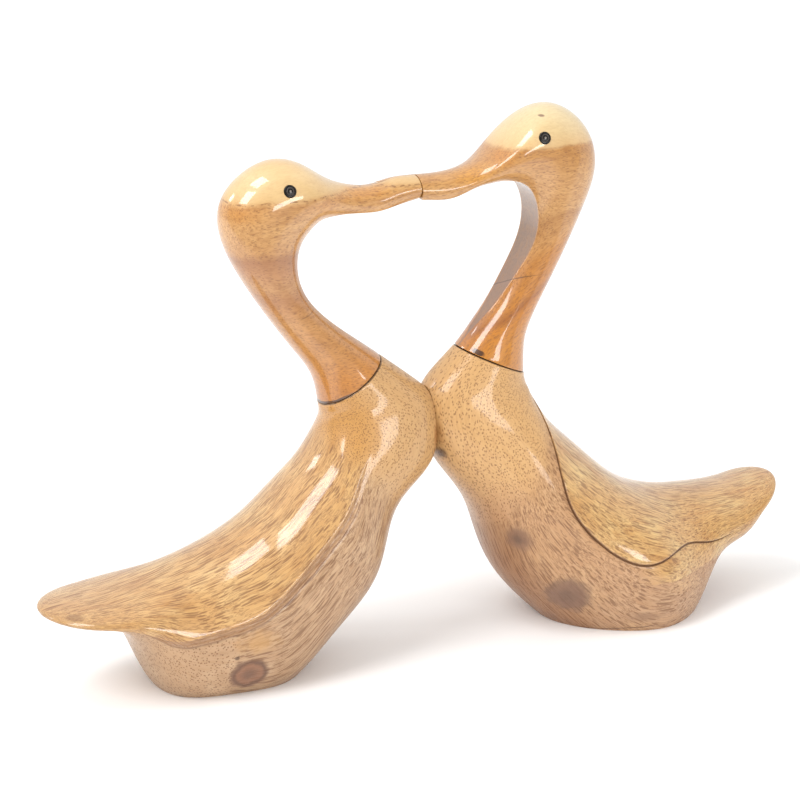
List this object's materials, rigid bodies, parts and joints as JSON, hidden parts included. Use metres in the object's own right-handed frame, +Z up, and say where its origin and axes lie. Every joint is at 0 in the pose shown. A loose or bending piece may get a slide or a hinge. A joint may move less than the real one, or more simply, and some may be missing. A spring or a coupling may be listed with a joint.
{
  "type": "wooden duck pair figurine",
  "caption": "Carved wooden figurine of a pair of ducks leaning breast to breast, bills lapped over a heart-shaped opening, standing on two flat feet.",
  "frame": {"origin": "on the surface it stands on, midway between the two tails and on the middle plane of both ducks", "axes": "+X along the pair from the shorter duck's tail to the taller duck's, +Y away from the side the picture shows, +Z up"},
  "size_m": [0.3685, 0.0902, 0.2466],
  "materials": {
    "body_wood": "lacquered, open-pored fibrous wood",
    "head_wood": "lacquered, fine-grained golden wood",
    "eye_bead": "glossy dark bead"
  },
  "bodies": {
    "root": {"left_body": "body_wood", "left_head": "head_wood", "left_eye_near": "eye_bead", "left_eye_far": "eye_bead", "right_body": "body_wood", "right_head": "head_wood", "right_eye_near": "eye_bead", "right_eye_far": "eye_bead"}
  },
  "joints": []
}
